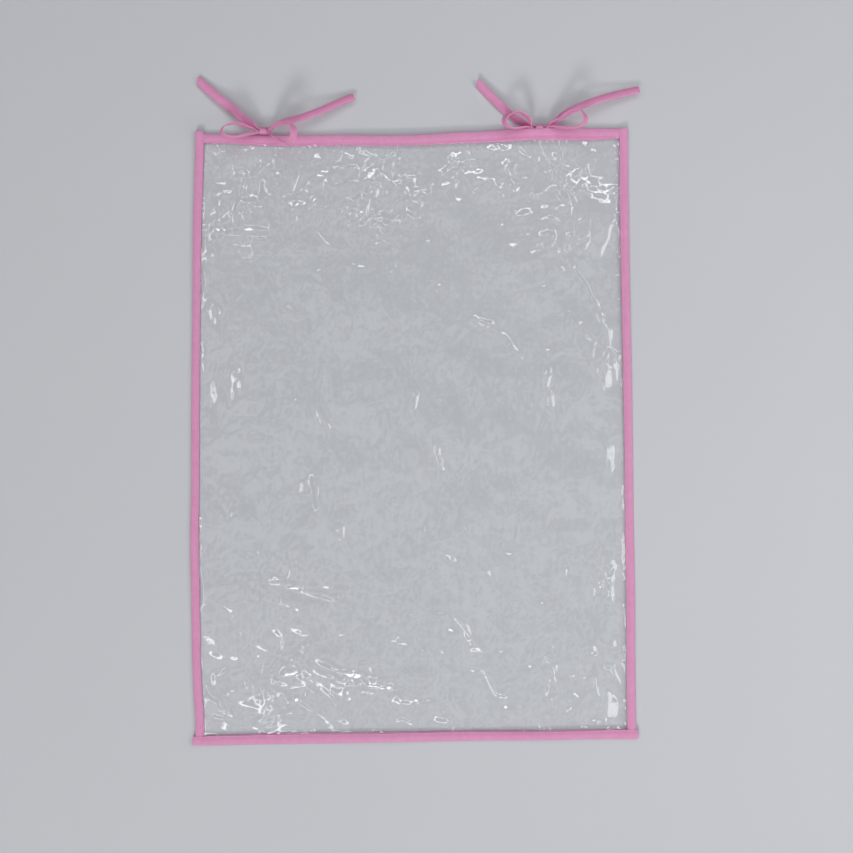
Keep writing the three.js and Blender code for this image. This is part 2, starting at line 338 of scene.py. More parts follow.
TAPE = cloth_material("binding_tape", (0.83, 0.38, 0.64), (0.88, 0.45, 0.71), (1.0, 0.36, 0.65))
RIBBON = cloth_material("tie_ribbon", (0.82, 0.36, 0.62), (0.87, 0.42, 0.68), (1.0, 0.34, 0.62))
THREAD = thread_material()
FILM = film_material()


# ---- Film: a sheet a little larger than its frame, let go to buckle and come to rest ----

FILM_INSET = 1.2 * MM
FILM_WIDTH = WIDTH - 2 * FILM_INSET
FILM_HEIGHT = HEIGHT - 2 * FILM_INSET
HELD_RIM = 8 * MM  # this much of the film is held flat inside the bindings
FLOOR_GAP = 0.3 * MM
BEND_STIFFNESS = 0.05
SHEAR_STIFFNESS = 0.5
SAG_STEP = 2e-6
FILM_LEVELS = ((63, 88, 400), (125, 175, 200), (250, 350, 80))  # columns, rows, steps


def film_spare(x, y):
    """How much longer the film is than its frame, across and along: most behind the crumpled top edge."""
    from_top = FILM_HEIGHT / 2 - y
    from_bottom = FILM_HEIGHT / 2 + y
    from_left = FILM_WIDTH / 2 + x
    from_right = FILM_WIDTH / 2 - x
    top = np.exp(-from_top / (75 * MM))
    right = np.exp(-from_right / (60 * MM)) * smoothstep(-280 * MM, 70 * MM, y)
    left = np.exp(-from_left / (35 * MM))
    bottom = np.exp(-from_bottom / (40 * MM))
    corner = np.exp(-np.hypot(from_left, from_bottom) / (110 * MM))
    across = 0.0005 + 0.004 * top + 0.004 * corner + 0.002 * bottom + 0.001 * right
    along = 0.0005 + 0.001 * right + 0.003 * corner + 0.0005 * left + 0.002 * top
    return across, along


def pull_together(points, free, rows, columns, length, stiffness):
    """Moves each point and the one rows and columns away towards their distance at rest."""
    reach = max(rows, columns)
    for start in range(2 * reach):
        first, second = [slice(None), slice(None)], [slice(None), slice(None)]
        stepped = 0 if rows else 1
        size = points.shape[stepped]
        first[stepped] = slice(start, size - reach, 2 * reach)
        second[stepped] = slice(start + reach, size, 2 * reach)
        if rows and columns:
            first[1] = slice(0, -1) if columns > 0 else slice(1, None)
            second[1] = slice(1, None) if columns > 0 else slice(0, -1)
        first, second = tuple(first), tuple(second)
        a, b = points[first], points[second]
        gap = b - a
        distance = np.sqrt((gap * gap).sum(-1)) + 1e-12
        share = free[first] + free[second]
        move = stiffness * (distance - length[first]) / distance / np.maximum(share, 1)
        move = move[..., None] * gap
        a += free[first][..., None] * move
        b -= free[second][..., None] * move


def settle(points, free, spare, spacing, steps):
    """Position-based relaxation: keep the lengths, resist bending, sag, and stay above the surface."""
    across = spacing[0] * (1 + spare[0])
    along = spacing[1] * (1 + spare[1])
    diagonal = np.hypot(across, along)
    pulls = [(0, 1, across, 1), (1, 0, along, 1), (1, 1, diagonal, SHEAR_STIFFNESS),
             (1, -1, diagonal, SHEAR_STIFFNESS), (0, 2, 2 * across, BEND_STIFFNESS),
             (2, 0, 2 * along, BEND_STIFFNESS)]
    for _ in range(steps):
        points[..., 2] -= SAG_STEP * free
        for rows, columns, length, stiffness in pulls:
            pull_together(points, free, rows, columns, length, stiffness)
        np.maximum(points[..., 2], FLOOR_GAP, out=points[..., 2])


def resample(values, stops, axis):
    """The grid's points at other stops along one axis, given as shares of its length, on smooth curves."""
    values = np.moveaxis(values, axis, 0)
    position = stops * (len(values) - 1)
    i = np.clip(np.floor(position).astype(int), 0, len(values) - 2)
    t = (position - i).reshape(-1, *([1] * (values.ndim - 1)))
    padded = np.concatenate([2 * values[:1] - values[1:2], values, 2 * values[-1:] - values[-2:-1]])
    p0, p1, p2, p3 = (padded[i + k] for k in range(4))
    bent = (2 * p0 - 5 * p1 + 4 * p2 - p3) * t * t + (3 * p1 - p0 - 3 * p2 + p3) * t ** 3
    return np.moveaxis(p1 + 0.5 * ((p2 - p0) * t + bent), 0, axis)


def uneven_stops(spacings):
    """Shares from 0 to 1, with (place, spacing) points in millimetres: closer where the film is crumpled."""
    places, gaps = np.array(spacings, float).T
    stops = [places[0]]
    while stops[-1] < places[-1]:
        stops.append(stops[-1] + np.interp(stops[-1], places, gaps))
    return (np.array(stops) - stops[0]) / (stops[-1] - stops[0])


# The film's finer grid, from its left and from its bottom edge
COLUMN_SPACING = [(0, 1.2), (16, 1.7), (480, 1.7), (498, 1.2)]
ROW_SPACING = [(0, 1.3), (30, 1.8), (110, 2.1), (190, 2.6), (230, 3.6), (400, 3.8), (430, 2.2), (500, 2.2),
               (540, 1.7), (680, 1.4), (698, 1.2)]


def settled_film():
    """The film's points after it has come to rest, as (rows, columns, 3) in the flat panel's frame."""
    points = None
    for columns, rows, steps in FILM_LEVELS:
        x, y = np.meshgrid(np.linspace(-FILM_WIDTH / 2, FILM_WIDTH / 2, columns),
                           np.linspace(-FILM_HEIGHT / 2, FILM_HEIGHT / 2, rows))
        if points is None:
            start = 4 * MM + 2 * MM * value_noise(x, y, 50 * MM) + 1 * MM * value_noise(x, y, 20 * MM)
            points = np.stack([x, y, start], -1)
        else:
            points = resample(resample(points, np.linspace(0, 1, columns), 1), np.linspace(0, 1, rows), 0)
            points[..., 2] += 0.15 * MM * rng.standard_normal(x.shape)
        held = np.maximum(abs(x) - FILM_WIDTH / 2, abs(y) - FILM_HEIGHT / 2) > -HELD_RIM
        points[held] = np.stack([x, y, rim_height(x, y)], -1)[held]
        spacing = FILM_WIDTH / (columns - 1), FILM_HEIGHT / (rows - 1)
        settle(points, 1.0 - held, film_spare(x, y), spacing, steps)
    return points


FLANK_SLOPE = 0.44
# Creases: the points they run through, from the panel's centre, and the width of each flank, in millimetres
CREASES = [
    ([(-115, -249), (-84, -268), (-40, -283), (0, -306)], 4.94),
    ([(-118, -262), (-90, -278), (-52, -290)], 2.99),
    ([(-168, -163), (-140, -170), (-112, -181)], 5.46),
    ([(-118, -179), (-78, -187)], 4.94),
    ([(-227, 224), (-190, 241), (-154, 238)], 5.07),
    ([(-215, 208), (-180, 226), (-160, 229)], 4.16),
    ([(-168, 324), (-192, 288), (-204, 254)], 4.42),
    ([(-124, 311), (-146, 270)], 2.99),
    ([(-89, 317), (-74, 308), (-59, 304)], 4.03),
    ([(-108, 245), (-95, 213)], 2.99),
    ([(-26, 179), (-17, 197)], 2.99),
    ([(149, 330), (165, 290), (184, 251)], 4.42),
    ([(160, 325), (178, 285), (190, 258)], 3.25),
    ([(177, 203), (198, 165), (219, 122)], 4.94),
    ([(234, 254), (222, 225), (212, 196)], 3.25),
    ([(68, 133), (100, 121)], 4.94),
    ([(97, 123), (112, 104), (126, 76)], 4.68),
    ([(154, 80), (157, 45), (163, 12)], 5.2),
    ([(45, -205), (62, -230), (81, -252)], 4.42),
    ([(76, -268), (90, -288), (105, -303)], 2.99),
    ([(36, -136), (54, -144)], 3.77),
    ([(218, -142), (227, -209)], 4.68),
    ([(209, -266), (225, -268), (232, -291)], 3.25),
    ([(-156, -290), (-132, -297), (-115, -313)], 3.25),
    ([(-184, -328), (-158, -316), (-131, -309)], 2.99),
    ([(-72, 271), (-70, 256), (-71, 236)], 2.86),
    ([(-70, 258), (-44, 271), (-41, 263), (-54, 246), (-9, 248)], 2.86),
    ([(-25, 259), (-7, 269), (8, 285)], 3.12),
    ([(9, 261), (18, 278), (30, 292)], 3.12),
    ([(43, 299), (58, 312), (78, 320)], 3.12),
    ([(-179, 279), (-190, 256)], 2.86),
    ([(-163, 318), (-183, 290)], 2.86),
    ([(-237, -282), (-220, -305), (-204, -325)], 3.25),
    ([(-1, 14), (2, 36), (8, 58)], 5.46),
    ([(-110, -46), (-107, -70), (-105, -92)], 5.2),
    ([(-98, -96), (-80, -106), (-75, -130)], 5.2),
    ([(-111, 35), (-100, 15), (-91, -8)], 5.46),
    ([(25, 0), (27, -25), (36, -48)], 5.2),
    ([(-140, 43), (-120, 35)], 5.2),
    ([(-198, 13), (-170, 12), (-142, 10)], 5.2),
]

# Crumpled places: centre and radius in millimetres, how many short creases, how crumpled, and the creases'
# main direction in degrees
CRUMPLES = [
    ((-44, 261), 32, 18, 1.2, 60),
    ((6, 275), 26, 14, 1.2, 20),
    ((55, 307), 20, 12, 1.2, 110),
    ((108, 285), 24, 10, 0.9, 80),
    ((177, 216), 28, 18, 1.2, 60),
    ((185, 290), 34, 12, 0.9, 110),
    ((-190, 290), 36, 14, 0.8, 60),
    ((-110, 285), 40, 12, 0.7, 60),
    ((-60, 310), 55, 16, 0.8, 90),
    ((120, 318), 60, 14, 0.8, 90),
    ((-185, 232), 30, 8, 0.9, 20),
    ((-140, -172), 30, 12, 1.0, 170),
    ((-170, -295), 50, 18, 0.9, 160),
    ((-60, -282), 60, 12, 0.8, 150),
    ((215, -170), 22, 8, 0.9, 90),
    ((170, -285), 50, 14, 0.8, 130),
    ((-228, -120), 50, 10, 0.5, 90),
    ((232, 90), 60, 14, 0.7, 90),
    ((60, 200), 110, 14, 0.3, 60),
    ((90, -120), 120, 12, 0.25, 130),
]


def crease_height(x, y, route, slope, width):
    """A fold with two straight flanks along a route, which fades out at both ends."""
    route = np.array(route, float) * MM
    reach = 1.5 * width * MM
    low, high = route.min(0) - reach, route.max(0) + reach
    near = (x > low[0]) & (x < high[0]) & (y > low[1]) & (y < high[1])
    rise = np.zeros_like(x)
    px, py = x[near], y[near]
    nearest = np.full(px.shape, 1.0)
    share = np.zeros(px.shape)
    pieces = len(route) - 1
    for i in range(pieces):
        step = route[i + 1] - route[i]
        t = np.clip(((px - route[i][0]) * step[0] + (py - route[i][1]) * step[1]) / (step @ step), 0, 1)
        distance = np.hypot(px - route[i][0] - t * step[0], py - route[i][1] - t * step[1])
        closer = distance < nearest
        nearest = np.where(closer, distance, nearest)
        share = np.where(closer, (i + t) / pieces, share)
    taper = np.clip(5 * share * (1 - share), 0, 1)
    rise[near] = slope * taper * np.maximum(width * MM - nearest, 0)
    return rise


RIDGE_SHARPNESS = 4
# Nets of ridges in the crumpled places: height and cell in millimetres, stretch, and direction in degrees
RIDGE_NETS = [(1.7, 15, 2.6, 62), (1.4, 20, 1.8, 118)]


def ridge_net(x, y, cell, stretch, direction):
    """Sharp ridges, 0 to 1 high, between randomly placed cells that are longer along one direction."""
    turn = math.radians(direction)
    u = (x * math.cos(turn) + y * math.sin(turn)) / (cell * stretch)
    v = (y * math.cos(turn) - x * math.sin(turn)) / cell
    column, row = np.floor(u).astype(int), np.floor(v).astype(int)
    sites = rng.random((CELLS, CELLS, 2))
    nearest = second = np.full(x.shape, 9.0)
    for across in (-1, 0, 1):
        for along in (-1, 0, 1):
            site = sites[(row + along) % CELLS, (column + across) % CELLS]
            distance = np.hypot(column + across + site[..., 0] - u, row + along + site[..., 1] - v)
            second = np.minimum(second, np.maximum(nearest, distance))
            nearest = np.minimum(nearest, distance)
    return np.exp(-RIDGE_SHARPNESS * (second - nearest))


def crumpled_share(x, y):
    """How crumpled each place is."""
    share = np.zeros_like(x)
    for centre, radius, _, height, _ in CRUMPLES:
        away = np.hypot(x - centre[0] * MM, y - centre[1] * MM) / (radius * MM)
        share += height * np.exp(-away ** 2)
    return np.minimum(share, 1.2)


def short_crease(centre, radius, height, direction):
    """A bent crease somewhere in a crumpled place, most of them upwards: its route, slope and flank width."""
    middle = np.array(centre) + radius * 0.55 * rng.standard_normal(2)
    angle = math.radians(direction + 38 * rng.standard_normal())
    half = rng.uniform(0.1, 0.42) * min(radius, 45) * np.array([math.cos(angle), math.sin(angle)])
    bend = rng.uniform(-0.2, 0.2) * half[::-1] * (1, -1)
    sign = 1 if rng.random() < 0.7 else -1
    slope = sign * FLANK_SLOPE * (0.6 + 0.3 * height) * rng.uniform(0.6, 1.2)
    return [middle - half, middle + bend, middle + half], slope, rng.uniform(2, 3.6)


WOBBLE = 2.2 * MM  # no crease runs quite straight
WOBBLE_LENGTH = 13 * MM


def crumpled(x, y):
    """The nets of ridges, the long creases and the short ones together."""
    net = sum(high * ridge_net(x, y, cell * MM, stretch, turn) for high, cell, stretch, turn in RIDGE_NETS)
    patchy = smoothstep(-0.4, 0.9, value_noise(x, y, 22 * MM))
    rise = MM * net * patchy * crumpled_share(x, y)
    x = x + WOBBLE * value_noise(x, y, WOBBLE_LENGTH)
    y = y + WOBBLE * value_noise(x, y, WOBBLE_LENGTH)
    for route, width in CREASES:
        rise += crease_height(x, y, route, FLANK_SLOPE, width)
    for centre, radius, count, height, direction in CRUMPLES:
        for _ in range(count):
            rise += crease_height(x, y, *short_crease(centre, radius, height, direction))
    return rise


GATHER_PITCH = 8 * MM
GATHER_SLOPE = 0.5


def seam_puckers(x, y):
    """Small gathers where the film leaves the seams, most of them along the top."""
    rise = np.zeros_like(x)
    half_x, half_y = WIDTH / 2 - TAPE_WIDTH, HEIGHT / 2 - TAPE_WIDTH
    # For each seam: how far inwards and along it a point is, the gathers' length in millimetres, and how rare
    # they are
    seams = [(half_y - y, x, 9, -2.2), (half_y + y, x, 6, 0.1),
             (half_x + x, y, 5, 0.4), (half_x - x, y, 6, -0.2)]
    for inwards, along, length, rarity in seams:
        shifted = along + 3 * MM * value_noise(along, 0 * along, 14 * MM)
        zigzag = 2 * abs(shifted / GATHER_PITCH - np.floor(shifted / GATHER_PITCH) - 0.5)
        strength = smoothstep(rarity, rarity + 1.6, value_noise(along, 0 * along, 11 * MM))
        fade = np.clip(1.3 - inwards / (length * MM), 0, 1)
        height = GATHER_SLOPE * GATHER_PITCH / 2
        rise += height * (zigzag - 0.5) * strength * smoothstep(-1 * MM, 1.5 * MM, inwards) * fade
    return rise


def soft_waves(x, y, height, length):
    """Soft ridges all over, each about a length apart."""
    return height * (0.6 - abs(value_noise(x, y, length)))


FOLD_CALM = 0.25  # how much of the creases' height is missing where the panel folds
FOLD_CALM_REACH = 25 * MM


def build_film():
    """The settled film with its creases: none inside the bindings, and lower ones where the panel folds."""
    points = resample(settled_film(), uneven_stops(ROW_SPACING), 0)
    points = resample(points, uneven_stops(COLUMN_SPACING), 1)
    rows, columns = points.shape[:2]
    x, y = points[..., 0], points[..., 1]
    inside = np.minimum(WIDTH / 2 - abs(x), HEIGHT / 2 - abs(y)) - TAPE_WIDTH
    free = smoothstep(-1 * MM, 4 * MM, inside)
    waves = soft_waves(x, y, 0.9 * MM, 26 * MM) + soft_waves(x, y, 0.35 * MM, 11 * MM)
    calm = 1 - FOLD_CALM * np.exp(-((y + CENTRE[1] - FOLD_Y) / FOLD_CALM_REACH) ** 2)
    height = points[..., 2] + free * calm * (crumpled(x, y) + waves) + seam_puckers(x, y)
    height = np.maximum(height, FLOOR_GAP)
    flat_x, flat_y = place_flat(x, y)
    uv = np.stack([x, y], -1)
    surface = np.stack([flat_x, flat_y, height], -1)
    return add_mesh("clear_film", surface, grid_faces(rows, columns), FILM, uv)


film = build_film()
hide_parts("upper_film", "lower_film")
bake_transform(film)


# ---- Bindings: a strip of tape folded over the film's edge and stitched through ----

STITCH_PITCH = 2.8 * MM
RING_STEP = STITCH_PITCH / 3
SEAM_INSET = TAPE_WIDTH - 1.5 * MM
FIRST_STITCH = 1.4 * MM  # from a strip's end
HALF_THICKNESS = BINDING_THICKNESS / 2
# A stitch, from end to end: rings of points, smaller at both ends, that arch out of the cloth
STITCH_REACH = 0.44 * STITCH_PITCH
STITCH_PLACES = np.linspace(-1, 1, 5)
AROUND = np.linspace(0, 2 * math.pi, 6, endpoint=False)
STITCH_RADII = 0.17 * MM * np.sqrt(1.15 - STITCH_PLACES ** 2)
STITCH_ARCH = 0.14 * MM * (1 - 1.9 * STITCH_PLACES ** 2)
# The front half of a binding's section: distance in from the fold, and height, as shares of the tape's width
# and of half its thickness
LEG_OUTSIDE = [(0.004, 0.35), (0.025, 0.6), (0.07, 0.84), (0.16, 1.08), (0.3, 1.34), (0.45, 1.48), (0.6, 1.4),
               (0.72, 1.14), (0.8, 0.84), (0.85, 0.66), (0.89, 0.8), (0.94, 0.96), (0.98, 0.88), (1.0, 0.62)]
LEG_INSIDE = [(0.99, 0.26), (0.85, 0.18), (0.5, 0.22), (0.1, 0.24)]
FOLD_INSIDE = (0.07, 0.0)
FOLD_OUTSIDE = (0.0, 0.0)

# Each edge: where a point so far along it and so far in from it lies, and where its strip starts and ends
EDGES = {
    "top": (lambda along, inset: (along, HEIGHT / 2 - inset), -WIDTH / 2 + 1.2 * MM, WIDTH / 2 - 1.2 * MM),
    "bottom": (lambda along, inset: (along, inset - HEIGHT / 2), -WIDTH / 2 - OVERHANG, WIDTH / 2 + OVERHANG),
    "left": (lambda along, inset: (inset - WIDTH / 2, along), 1.5 * MM - HEIGHT / 2, HEIGHT / 2 + 2.8 * MM),
    "right": (lambda along, inset: (WIDTH / 2 - inset, along), 1.5 * MM - HEIGHT / 2, HEIGHT / 2),
}
# How far each edge's front leg, and then its back leg, reaches past the tape's nominal width
FRONT_REACH = {
    "top": through([(-250, 0.6), (0, 0.8), (250, 0.8)]),
    "bottom": through([(-250, 0.4), (-180, 0.4), (0, 0), (180, -0.6), (250, 0.3)]),
    "left": through([(-350, -0.4), (-100, -1), (150, -1.2), (350, -0.2)]),
    "right": through([(-350, -0.6), (0, -0.8), (350, -0.4)]),
}
BACK_REACH = {
    "top": through([(-250, 0.6), (-190, 1.4), (-100, 2.2), (0, 2), (60, 2.6), (110, 3.6), (160, 3.8),
                    (210, 3.4), (240, 1.6), (250, 1.4)]),
    "bottom": through([(-250, 0.6), (-150, 1.8), (-60, 1.5), (80, 0.8), (200, 0.4), (250, 0.4)]),
    "left": through([(-350, -0.6), (-100, -0.8), (120, -1.4), (350, 0.2)]),
    "right": through([(-350, -0.4), (-150, -1), (60, -0.6), (350, 0.2)]),
}


def corner_swell(edge, along):
    """A strip is thicker where it passes round another one at a corner."""
    if edge == "top":
        return 0 * along
    half, along = (WIDTH / 2, abs(along)) if edge == "bottom" else (HEIGHT / 2, along)
    return 0.8 * MM * smoothstep(half - 17 * MM, half - 9 * MM, along)


RIPPLE_HEIGHT = 0.07 * MM
RIPPLE_LENGTH = 5.3 * MM
RIPPLE_PATCH = 23 * MM


def seam_wave(edge, along, inset):
    """The tape's small ripples between its fold and its seam, and the dip at each needle hole."""
    share = inset / TAPE_WIDTH
    ripple = np.sin(2 * math.pi * (along / RIPPLE_LENGTH + 0.9 * share))
    puff = ripple * np.sin(math.pi * np.clip(share, 0, 1)) ** 2
    patch = 0.6 + 0.4 * np.sin(along / RIPPLE_PATCH + len(edge))
    dip = np.exp(-((inset - SEAM_INSET) / (0.9 * MM)) ** 2) * np.cos(2 * math.pi * along / STITCH_PITCH)
    return RIPPLE_HEIGHT * (puff * patch - dip)


def build_binding(edge):
    """The folded tape: from the fold round the front leg, into the slot, and back round the back leg."""
    plan, start, end = EDGES[edge]
    count = int(round((end - start) / RING_STEP))
    along = np.linspace(start, end, count)[:, None]
    front, back = FRONT_REACH[edge](along), BACK_REACH[edge](along)
    swell = corner_swell(edge, along)
    # The tape's edges inside the seam aren't quite straight
    wobble = 0.2 * MM * np.sin(along / (31 * MM)) + 0.12 * MM * np.sin(along / (9 * MM) + 2)
    outline = [(*FOLD_OUTSIDE, 0)]
    outline += [(inset, height, 1) for inset, height in LEG_OUTSIDE + LEG_INSIDE]
    outline += [(*FOLD_INSIDE, 0)]
    outline += [(inset, height, -1) for inset, height in (LEG_OUTSIDE + LEG_INSIDE)[::-1]]
    insets, heights, signs = np.array(outline).T
    outer = heights > 0.4
    reach = (wobble + np.where(signs < 0, back, front)) * smoothstep(0.2, 1, insets)
    inset = insets * TAPE_WIDTH + reach
    off = signs * (heights * HALF_THICKNESS + np.where(heights > 0.1, swell, 0))
    off = off + np.where(outer, signs * seam_wave(edge, along, insets * TAPE_WIDTH), 0)
    x, y = plan(along + 0 * inset, inset)
    rings = place(x, y, off)
    if edge in ("top", "left"):  # so that its faces point out
        rings = rings[::-1]
    return add_swept(f"{edge}_binding_strip", rings, TAPE, girth=4 * TAPE_WIDTH)


def add_stitches(name, rings):
    """Separate stitches: rings has the shape (stitches, rings in a stitch, points in a ring, 3)."""
    _, ring_count, sides, _ = rings.shape
    faces = []
    for first in range(0, rings[..., 0].size, ring_count * sides):
        last = first + (ring_count - 1) * sides
        faces += grid_faces(ring_count, sides, closed=True, first=first)
        faces.append([first + i for i in range(sides)][::-1])
        faces.append([last + i for i in range(sides)])
    return add_mesh(name, rings, faces, THREAD)


def build_seam(edge, face, sign):
    """A row of stitches that come out of the tape and go back in."""
    plan, start, end = EDGES[edge]
    count = int((end - start - 2 * MM) / STITCH_PITCH)
    middles = start + FIRST_STITCH + STITCH_PITCH * (np.arange(count) + 0.5)
    middles = middles[:, None, None]
    lengthwise, radius = STITCH_PLACES[:, None], STITCH_RADII[:, None]
    slant = 0.12 * MM * rng.standard_normal(count)[:, None, None]
    surface = 0.72 * HALF_THICKNESS + corner_swell(edge, middles)
    along = middles + STITCH_REACH * lengthwise + 0 * AROUND
    reach = (FRONT_REACH if sign > 0 else BACK_REACH)[edge](along)
    inset = SEAM_INSET + 0.9 * reach + slant * lengthwise + radius * np.cos(AROUND)
    off = surface + STITCH_ARCH[:, None] + radius * np.sin(AROUND)
    x, y = plan(along, inset)
    return add_stitches(f"{edge}_{face}_seam", place(x, y, sign * off))


def fasten_to_panel(piece, edge, cad_name):
    """Top and bottom pieces are rigid, attached to their half of the panel; side pieces stay where they are
    built.
    """
    if edge in SIDES:
        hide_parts(f"{edge}_upper_{cad_name}", f"{edge}_lower_{cad_name}")
        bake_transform(piece)
    else:
        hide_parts(f"{edge}_{cad_name}")
        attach(piece, "upper_panel" if edge == "top" else "lower_panel")


def build_edges():
    pieces = []
    for edge in EDGES:
        strip = build_binding(edge)
        fasten_to_panel(strip, edge, "binding")
        pieces.append(strip)
        for face, sign, cad_name in (("front", 1, "needle_thread"), ("back", -1, "bobbin_thread")):
            seam = build_seam(edge, face, sign)
            fasten_to_panel(seam, edge, cad_name)
            pieces.append(seam)
    return pieces


edge_pieces = build_edges()


# ---- Ties ----

RIBBON_THICKNESS = 1.3 * MM
ROOT_START = 7 * MM  # where loops and tails leave the knot, from its centre
ROOT_WIDTH = 3.6 * MM
GATHER_LENGTH = 16 * MM
TAIL_LAYER = 2.6 * MM
LOOP_LAYERS = (-2.7 * MM, -0.9 * MM)
KNOT_RADIUS = 3.9 * MM
TAIL_OPENING = (-2 * MM, 7 * MM)
LOOP_CUP = 0.25 * MM
TAIL_CUP = 1.2 * MM
PLEAT_HEIGHT = 0.45 * MM
STRAP_THICKNESS = 0.95 * MM
STRAP_END_WIDTH = 5.8 * MM
STRAP_REACH = 3.5 * MM  # from the knot's middle to the end of the strap

# Shifts and routes are in millimetres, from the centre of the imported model's knot. sides gives the way the
# ribbon's width points at shares of its length: upright at a loop's ends, and as lean says in its middle.
UPRIGHT = (0, 0, 1)
BOWS = {
    "left": {
        "knot": (-3.8, -4, 0.4),
        "left_loop": {
            "route": [(-13.8, -7.8, 2.8), (-21, -9.9, 5.8), (-29.6, -13.1, 9.8), (-38.2, -15.3, 13.8),
                      (-45.3, -14.2, 16.8), (-48.7, -10.4, 18.8), (-47.1, -5.9, 20.3), (-41.9, -2.2, 19.8),
                      (-35.4, 0, 17.8), (-27.6, -0.1, 13.8), (-20.7, -1.7, 8.8), (-13.7, -3.4, 3.8)],
            "lean": (0.42, -0.05, 0.9),
        },
        "right_loop": {
            "route": [(7.2, -11.1, 4.8), (14.8, -16.8, 10.8), (22.5, -22.4, 18.8), (29.5, -25.1, 27.8),
                      (33.6, -21.5, 33.8), (34.5, -13.9, 36.2), (32.6, -7.9, 35.8), (27.7, -3.7, 31.8),
                      (21.7, -1.4, 24.8), (15.3, -0.9, 16.2), (9, -1.9, 7.8)],
            "lean": (-0.66, 0.05, 0.75),
        },
        "left_tail": {
            "route": [(-14, 0.3, 1.8), (-21.5, 5, 2.8), (-29.3, 11.5, 2.8), (-40.3, 21.4, 1.3),
                      (-51.5, 31.1, -0.8), (-64.4, 42.4, -3), (-74.1, 51, -4.5), (-80.5, 56.7, -5.2)],
            "sides": [(0, (0.3, 0.4, 0.85)), (0.1, (0.58, 0.74, 0.3)), (0.55, (0.6, 0.76, 0.25)),
                      (0.66, (0.61, 0.79, -0.05)), (1, (0.61, 0.79, 0))],
        },
        "right_tail": {
            "route": [(8.5, 1.3, 3.8), (17.1, 4.1, 5.8), (26.5, 6.1, 7.3), (37.2, 8.8, 7.8),
                      (49.3, 13.1, 6.8), (62.9, 19.1, 4.3), (76.4, 26, 1.3), (90.1, 32.8, -1.2),
                      (100.2, 37.1, -2.6)],
            "sides": [(0, (0, 0.5, -0.8)), (0.25, (-0.3, 0.78, -0.42)), (1, (-0.34, 0.8, -0.38))],
        },
    },
    "right": {
        "knot": (0, -3.8, -0.7),
        "left_loop": {
            "route": [(-10, -3.6, 0.2), (-18, -4.4, 3.4), (-26.4, -6.6, 8.5), (-34.3, -7.5, 13),
                      (-39.8, -5.5, 17.1), (-41.6, -1.3, 19.6), (-39.3, 3.6, 21.6), (-33.3, 7.3, 22.1),
                      (-25.6, 8.9, 20.6), (-18.5, 7.1, 16), (-12.7, 3.8, 9)],
            "lean": (0.5, -0.2, 0.84),
        },
        "right_loop": {
            "route": [(10.8, -3.4, 1), (19.5, -4.6, 6.4), (29.5, -7.4, 13.6), (39.5, -9, 21),
                      (46.5, -7.9, 26.6), (49.6, -3.1, 30.1), (47.9, 2.9, 31.6), (43, 7.3, 31.1),
                      (36.5, 8.3, 28.6), (29.6, 6, 22.6), (22.1, 2.6, 14), (13.7, 0.2, 5)],
            "lean": (-0.55, -0.12, 0.82),
        },
        "left_tail": {
            "route": [(-10.5, -1, -1.4), (-18.1, 2, -0.6), (-25.8, 5.6, 0.2), (-34.9, 12.4, 0.4),
                      (-45.6, 22.6, -0.6), (-57.8, 35, -1.7), (-67, 44.6, -2.4), (-71.3, 48.8, -2.5)],
            "sides": [(0, UPRIGHT), (0.3, (0.5, 0.55, 0.66)), (0.7, (0.52, 0.62, 0.56)),
                      (1, (0.52, 0.62, 0.56))],
        },
        "right_tail": {
            "route": [(11.7, -0.4, 0.6), (18.3, 3, 4.4), (24.2, 7.4, 8), (31.8, 11.8, 9.8),
                      (42.4, 17, 10.4), (54.8, 22.4, 9.4), (69, 28, 7.1), (84.7, 33.2, 4.1),
                      (102.1, 38, 1.6), (115.6, 41.4, 0)],
            "sides": [(0, (0, 0.5, -0.8)), (0.3, (-0.4, 0.76, -0.42)), (1, (-0.16, 0.84, -0.42))],
        },
    },
}


def smooth_line(points, step):
    """Points a step apart along the centripetal Catmull-Rom curve through the given points."""
    points = np.array(points, float)
    ends = 2 * points[0] - points[1], 2 * points[-1] - points[-2]
    points = np.vstack([ends[0], points, ends[1]])
    dense = []
    for p0, p1, p2, p3 in zip(points, points[1:], points[2:], points[3:]):
        d0, d1, d2 = (math.sqrt(np.linalg.norm(b - a)) for a, b in ((p0, p1), (p1, p2), (p2, p3)))
        m1 = ((p1 - p0) / d0 - (p2 - p0) / (d0 + d1) + (p2 - p1) / d1) * d1
        m2 = ((p2 - p1) / d1 - (p3 - p1) / (d1 + d2) + (p3 - p2) / d2) * d1
        t = np.linspace(0, 1, 40, endpoint=False)[:, None]
        dense.append((2 * t ** 3 - 3 * t ** 2 + 1) * p1 + (t ** 3 - 2 * t ** 2 + t) * m1
                     + (3 * t ** 2 - 2 * t ** 3) * p2 + (t ** 3 - t ** 2) * m2)
    dense = np.vstack(dense + [points[-2:-1]])
    travelled = np.concatenate([[0], np.cumsum(np.linalg.norm(np.diff(dense, axis=0), axis=1))])
    count = max(int(travelled[-1] / step), 8)
    stops = np.linspace(0, travelled[-1], count)
    line = np.stack([np.interp(stops, travelled, dense[:, k]) for k in range(3)], -1)
    return line, stops


def frames_along(line, sides):
    """For each point of a line: its direction, the direction across the ribbon, and the ribbon's normal."""
    along = unit(np.gradient(line, axis=0))
    across = unit(sides - (sides * along).sum(-1, keepdims=True) * along)
    return along, across, np.cross(along, across)


